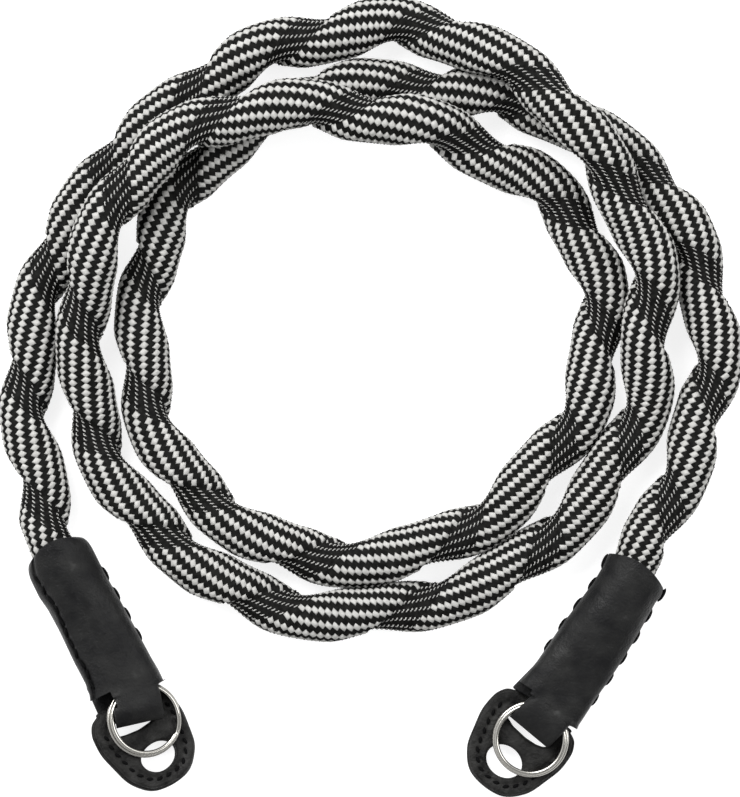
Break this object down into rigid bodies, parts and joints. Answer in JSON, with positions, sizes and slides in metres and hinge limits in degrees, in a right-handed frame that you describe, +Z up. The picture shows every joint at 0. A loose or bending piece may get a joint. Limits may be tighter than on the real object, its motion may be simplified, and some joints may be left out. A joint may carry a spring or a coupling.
{
  "type": "camera strap",
  "caption": "Round braided camera strap laid in a loose coil, with a sewn leather sleeve, a split ring and a leather lug guard at each end.",
  "frame": {"origin": "middle of the laid-out strap's outer box, on the floor it lies on", "axes": "+Z up from the floor; +Y from the two leather ends towards the far side of the coil; +X towards the right-hand end as seen from above"},
  "size_m": [0.1492, 0.1608, 0.0229],
  "materials": {
    "braided_cord": "black and off-white round braid with a narrow neck winding round it",
    "black_leather": "smooth black leather with a fine grain, half matt",
    "guard_leather": "black leather, slightly worn, with a stitched rim",
    "ring_steel": "polished spring steel"
  },
  "bodies": {
    "root": {"braided_cord": "braided_cord", "leather_sleeve_left": "black_leather", "leather_sleeve_right": "black_leather", "split_ring_left": "ring_steel", "split_ring_right": "ring_steel", "guard_face_left": "guard_leather", "guard_face_right": "guard_leather", "guard_backing_left": "guard_leather", "guard_backing_right": "guard_leather"}
  },
  "joints": []
}
